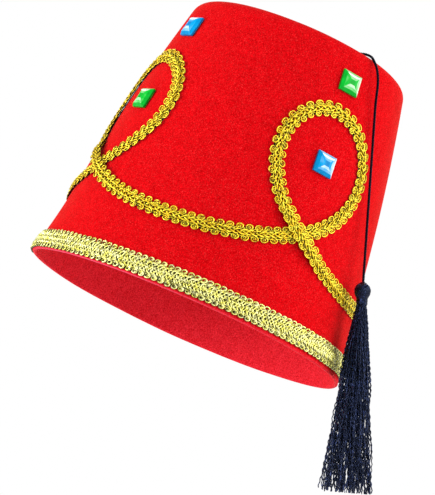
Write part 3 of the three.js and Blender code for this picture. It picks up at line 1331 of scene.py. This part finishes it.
@dataclass
class TasselCord:
    """The thin cord: three plies round one line, from the top's middle over the shoulder and down."""

    diameter: float = 1.7
    azimuth: float = math.radians(38.9)
    route: tuple[tuple[float, float, float], ...] = (
        (0, 0, 177.6),
        (0, 0, 179.6),
        (0.7, 0, 182),
        (2.8, 0, 184.1),
        (5.8, 0, 184.6),
        (10, 0, 183.5),
        (16, 0, 181.9),
        (26, 0, 181.5),
        (40, 0, 181.5),
        (54, 0, 181.5),
        (61, 0, 181.3),
        (65.8, 0.1, 180.1),
        (69.4, 0.5, 177.5),
        (72.4, 1.1, 174.6),
        (74.3, 2, 171.4),
    )
    drop: float = 123.6
    drop_points: int = 6
    step: float = 0.5
    plies: int = 3
    ply_radius: float = 0.46
    ply_reach: float = 0.39
    lay_pitch: float = 4.4
    finish: SilkFinish = SilkFinish("cord_silk", light=screen(12, 12, 30), roughness=0.4, specular=0.2)

    def _knots(self) -> list[Vector]:
        """Gives the route's points in the frame, in metres.

        Returns:
            The points, from the hole to the tassel.
        """
        turn = WALL.stance @ Matrix.Rotation(self.azimuth, 4, "Z")
        knots = [turn @ Vector((side, -out, up)) for out, side, up in self.route]
        last = knots[-1]
        for number in range(1, self.drop_points + 1):
            knots.append(last - Vector((0, 0, self.drop * MM * number / self.drop_points)))
        return knots

    def path(self) -> list[Vector]:
        """Gives the smooth middle line, in metres.

        Returns:
            The line's points, from the hole to the tassel.
        """
        knots = self._knots()
        paces = [(after - before).length for before, after in zip(knots, knots[1:])]
        slopes = [(after - before) / pace for before, after, pace in zip(knots, knots[1:], paces)]
        tangents = [slopes[0]]
        for index in range(1, len(slopes)):
            weighed = slopes[index - 1] * paces[index] + slopes[index] * paces[index - 1]
            tangents.append(weighed / (paces[index - 1] + paces[index]))
        tangents.append(slopes[-1])
        line = [knots[0]]
        for index, pace in enumerate(paces):
            handles = (
                knots[index] + tangents[index] * pace / 3,
                knots[index + 1] - tangents[index + 1] * pace / 3,
            )
            count = max(2, round(pace / MM / self.step) + 1)
            line.extend(interpolate_bezier(knots[index], *handles, knots[index + 1], count)[1:])
        return line

    def build(self) -> Object:
        """Lays the plies up round the middle line.

        Returns:
            The cord, in the frame.
        """
        line = self.path()
        frames = carried_frames(line)
        reach = np.cumsum([0.0, *((after - before).length for before, after in zip(line, line[1:]))])
        threads = ThreadWork("silk_cord")
        for ply in range(self.plies):
            turns = TURN * (reach / MM / self.lay_pitch + ply / self.plies)
            points = [
                point / MM + (first * math.cos(turn) + second * math.sin(turn)) * self.ply_reach
                for point, (first, second), turn in zip(line, frames, turns)
            ]
            threads.add(np.array(points), self.ply_radius)
        mesh = threads.mesh()
        mesh.transform(Matrix.Scale(MM, 4))
        return piece_of("silk_cord", mesh)

    def dress(self, piece: Object, head: Object) -> None:
        """Args:
            piece: The cord.
            head: The tassel's head; not used.
        """
        settle(piece, self.finish.material(), Slot.SILK, "tassel_cord")
        line = self.path()
        length = sum((after - before).length for before, after in zip(line, line[1:]))
        log.info("silk_cord: %.1f mm long", length / MM)


@dataclass
class Tassel:
    """The tassel: a ball wound over with silk, a bound neck and a skirt of crimped strands."""

    gap: float = 0.35
    head: Profile = (
        (-0.4, 1.1), (0.6, 2.9), (2.0, 4.3), (4.0, 5.0), (6.4, 4.7), (8.6, 3.5), (10.2, 3.1),
    )
    head_threads: int = 30
    head_thread_radius: float = 0.5
    head_twist: float = 0.12
    head_rows: int = 16
    core_inset: float = 0.55
    core_steps: int = 24
    binding_turns: int = 4
    binding_start: float = 9.2
    binding_pitch: float = 0.75
    binding_radius: float = 0.42
    binding_reach: float = 3.1
    binding_points: int = 20
    strands: int = 150
    skirt_start: float = 9.8
    skirt_end: float = 122.8
    skirt: Profile = (
        (9.8, 2.5), (14, 3.0), (24, 4.8), (32, 6.0), (42, 7.5), (56, 9.0),
        (70, 10.0), (84, 11.7), (98, 13.5), (112, 15.0), (123, 16.2),
    )
    drift: Profile = ((9.8, 0), (24, 0.3), (36, 0.8), (48, 0.8), (72, 1.0), (100, 1.6), (123, 1.2))
    twist: float = 0.45
    crimp: float = 0.26
    crimp_pitch: float = 3.6
    crimp_pitches: Limits = (0.8, 1.25)
    crimp_points: int = 4
    stray: float = 1.9
    stray_shares: Limits = (0.3, 1.0)
    stray_waves: float = 2.5
    wave_shares: Limits = (0.6, 1.4)
    shortening: float = 7.0
    locks: int = 26
    gather: float = 0.95
    gather_growth: float = 4.5
    thin: float = 0.3
    full: float = 0.36
    filling: Limits = (0.0, 0.4)
    skirt_sides: int = 4
    seed: int = 11

    def _place(self, cord: TasselCord) -> Matrix:
        """Gives the tassel's top in the frame, with millimetres as metres."""
        end = cord.path()[-1] - Vector((0, 0, self.gap * MM))
        return Matrix.Translation(end) @ Matrix.Scale(MM, 4)

    def build_head(self, cord: TasselCord) -> Object:
        """Winds the ball and binds the neck.

        Args:
            cord: The cord that it hangs on.

        Returns:
            The head, set into the frame.
        """
        drops, radii = (np.array(row) for row in zip(*self.head))
        rows = np.linspace(drops[0], drops[-1], self.head_rows)
        out = np.interp(rows, drops, radii) - self.head_thread_radius
        threads = ThreadWork("tassel_head")
        for number in range(self.head_threads):
            angle = number * TURN / self.head_threads + self.head_twist * rows
            line = np.column_stack([out * np.cos(angle), out * np.sin(angle), -rows])
            threads.add(line, self.head_thread_radius)
        turns = np.arange(self.binding_turns * self.binding_points + 1) / self.binding_points
        around = np.column_stack([np.cos(turns * TURN), np.sin(turns * TURN)]) * self.binding_reach
        fall = self.binding_start + turns * self.binding_pitch
        threads.add(np.column_stack([around, -fall]), self.binding_radius)
        mesh = threads.mesh()
        work = bmesh.new()
        work.from_mesh(mesh)
        core = np.clip(out - self.core_inset, 0, None)
        spin_line(work, [Vector((radius, 0, -drop)) for radius, drop in zip(core, rows)], self.core_steps)
        work.to_mesh(mesh)
        work.free()
        mesh.shade_smooth()
        mesh.transform(self._place(cord))
        return piece_of("tassel_head", mesh)

    def build_skirt(self, cord: TasselCord) -> Object:
        """Hangs the strands, each with its own crimp, stray and end.

        Args:
            cord: The cord that it hangs on.

        Returns:
            The skirt, set into the frame.
        """
        draw = random.Random(self.seed)
        threads = ThreadWork("tassel_skirt", self.skirt_sides)
        lock_spots = disc_spots(self.locks)
        wide_drops, wide = (np.array(row) for row in zip(*self.skirt))
        drift_drops, drift = (np.array(row) for row in zip(*self.drift))
        for spot in disc_spots(self.strands):
            lock = lock_spots[np.argmin(((lock_spots - spot) ** 2).sum(axis=1))]
            end = self.skirt_end - self.shortening * draw.random() ** 2
            count = round((end - self.skirt_start) / self.crimp_pitch * self.crimp_points)
            drop = np.linspace(self.skirt_start, end, count)
            fallen = (drop - self.skirt_start) / (self.skirt_end - self.skirt_start)
            out = np.interp(drop, wide_drops, wide)
            turn = self.twist * fallen
            right, back = (spot + np.outer(self.gather * fallen**self.gather_growth, lock - spot)).T
            bend = TURN * (self.stray_waves * draw.uniform(*self.wave_shares) * fallen + draw.random())
            sway = self.stray * fallen * draw.uniform(*self.stray_shares)
            pitch = self.crimp_pitch * draw.uniform(*self.crimp_pitches)
            roll = TURN * (drop / pitch + draw.random())
            x = out * (right * np.cos(turn) - back * np.sin(turn)) - np.interp(drop, drift_drops, drift)
            x += sway * np.sin(bend) + self.crimp * np.cos(roll)
            y = out * (right * np.sin(turn) + back * np.cos(turn))
            y += sway * np.cos(bend) + self.crimp * np.sin(roll)
            radius = self.thin + (self.full - self.thin) * smooth_step(fallen, *self.filling)
            threads.add(np.column_stack([x, y, -drop]), radius)
        mesh = threads.mesh()
        mesh.transform(self._place(cord))
        return piece_of("tassel_skirt", mesh)

    def dress(self, head: Object, skirt: Object, silk: Material) -> None:
        """Gives the tassel its silk."""
        for piece in (head, skirt):
            settle(piece, silk, Slot.SILK, "tassel")


@dataclass
class InnerKnot:
    """The knot under the top that holds the cord."""

    height: float = 173.95
    size: float = 0.78
    lift: float = 1.5
    radius: float = 0.85
    points: int = 60
    sides: int = 8

    def build(self) -> Object:
        """Ties the cord over itself three times.

        Returns:
            The knot, set into the frame.
        """
        wave = np.arange(self.points) * TURN / self.points
        x = self.size * (np.sin(wave) + 2 * np.sin(2 * wave))
        y = self.size * (np.cos(wave) - 2 * np.cos(2 * wave))
        z = self.height - self.size * self.lift * np.sin(3 * wave)
        threads = ThreadWork("inner_knot", self.sides)
        threads.add(np.column_stack([x, y, z]), self.radius, True)
        mesh = threads.mesh()
        mesh.transform(WALL.stance)
        return piece_of("inner_knot", mesh)

    def dress(self, piece: Object, silk: Material) -> None:
        """Gives the knot its silk."""
        settle(piece, silk, Slot.SILK, "cord_knot")


@dataclass(frozen=True)
class SoftBox:
    """One soft light: its name, where it stands, its size and its power."""

    name: str
    place: tuple[float, float, float]
    size: float
    power: float


@dataclass
class Studio:
    """The camera, the soft lights, the white surround and the floor."""

    camera_place: tuple[float, float, float] = (0.01653, -1.91105, -0.08975)
    look_up: float = math.radians(4.0)
    roll: float = math.radians(4.15)
    focal_pixels: float = 3200.0
    frame_height: float = 495.0
    sensor: float = 36.0
    aim: tuple[float, float, float] = (0.02, 0.0, 0.07)
    lights: tuple[SoftBox, ...] = (
        SoftBox("front_key", (0.28, -1.95, 0.35), 0.35, 5.5),
        SoftBox("right_wash", (2.0, -0.7, 0.4), 2.6, 66.0),
        SoftBox("left_wash", (-1.7, -0.4, 0.5), 0.9, 31.0),
        SoftBox("top_box", (0.0, -0.3, 1.9), 1.2, 8.0),
        SoftBox("back_box", (0.3, 1.8, 0.9), 1.2, 16.0),
    )
    surround: float = 0.32
    floor_height: float = -0.16
    floor_radius: float = 4.0
    floor_sides: int = 96

    def set_camera(self) -> None:
        """Stands the camera where the hat is seen from."""
        data = bpy.data.cameras.new("camera")
        data.sensor_width = self.sensor
        data.lens = self.focal_pixels / self.frame_height * self.sensor
        level_up = Vector((0, -math.sin(self.look_up), math.cos(self.look_up)))
        ahead = Vector((0, math.cos(self.look_up), math.sin(self.look_up)))
        right = Vector((math.cos(self.roll), 0, 0)) + level_up * math.sin(self.roll)
        up = ahead.cross(-right)
        turn = Matrix((right, up, -ahead)).transposed().to_4x4()
        camera = bpy.data.objects.new("camera", data)
        camera.matrix_world = Matrix.Translation(self.camera_place) @ turn
        bpy.context.scene.collection.objects.link(camera)
        bpy.context.scene.camera = camera

    def set_lights(self) -> None:
        """Stands the soft lights round the hat."""
        for box in self.lights:
            data = bpy.data.lights.new(box.name, "AREA")
            data.size = box.size
            data.energy = box.power
            light = bpy.data.objects.new(box.name, data)
            light.location = box.place
            light.rotation_mode = "QUATERNION"
            light.rotation_quaternion = (Vector(self.aim) - light.location).to_track_quat("-Z", "Y")
            light.visible_camera = False
            bpy.context.scene.collection.objects.link(light)

    def set_surround(self) -> None:
        """Makes the surround white to look at, and dimmer as a light."""
        world = bpy.data.worlds.new("surround")
        work = NodeWork(world)
        seen = work.node("ShaderNodeLightPath", {}, {}, "Is Camera Ray")
        strength = self.surround + seen * (1 - self.surround)
        glow = work.node("ShaderNodeBackground", {}, {"Color": WHITE, "Strength": strength})
        work.close(glow, "ShaderNodeOutputWorld")
        bpy.context.scene.world = world
        bpy.context.scene.view_settings.view_transform = "Standard"

    def lay_floor(self) -> None:
        """Lays the floor well below the tassel."""
        work = bmesh.new()
        bmesh.ops.create_circle(work, cap_ends=True, segments=self.floor_sides, radius=self.floor_radius)
        mesh = mesh_of("floor", work)
        mesh.transform(Matrix.Translation((0, 0, self.floor_height)))
        floor = piece_of("floor", mesh)
        floor.data.materials.append(FloorFinish().material())


def main() -> None:
    """Builds the studio and the hat, piece by piece."""
    logging.basicConfig(level=logging.INFO, format="%(name)s %(message)s")
    studio = Studio()
    studio.set_camera()
    silk = SilkFinish().material()
    cord = TasselCord()
    tassel = Tassel()
    head = tassel.build_head(cord)
    cord.dress(cord.build(), head)
    tassel.dress(head, tassel.build_skirt(cord), silk)
    knot = InnerKnot()
    knot.dress(knot.build(), silk)
    for part in (FeltCrown(), ScrollGimp(), RimGimp(), PasteStones()):
        part.dress(part.build())
    studio.set_lights()
    studio.set_surround()
    studio.lay_floor()


if __name__ == "__main__":
    main()
